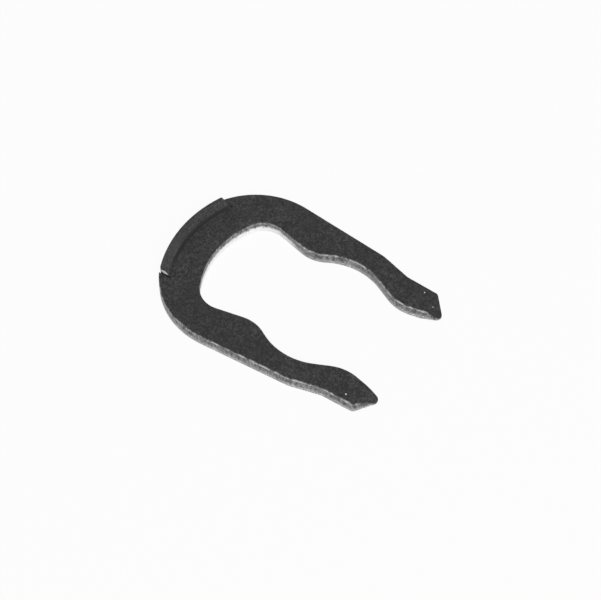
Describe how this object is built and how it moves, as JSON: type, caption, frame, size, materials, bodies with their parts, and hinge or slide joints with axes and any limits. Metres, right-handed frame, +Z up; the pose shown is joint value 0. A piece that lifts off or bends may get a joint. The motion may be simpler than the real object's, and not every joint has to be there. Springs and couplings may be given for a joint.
{
  "type": "retaining clip",
  "caption": "Flat U-shaped spring steel clip with waved arms that grip a grooved shaft, wedge-shaped noses and a turned-up lip along its closed end.",
  "frame": {"origin": "centre of the seat circle between the arms, on the underside", "axes": "+X along the clip to its open end, +Y across the arms, +Z up through the sheet to the side the lip is turned to"},
  "size_m": [0.0289, 0.0202, 0.0023],
  "materials": {
    "blackened_steel": "blackened sheet, matt, with lighter sheared edges"
  },
  "bodies": {
    "root": {"clip": "blackened_steel"}
  },
  "joints": []
}
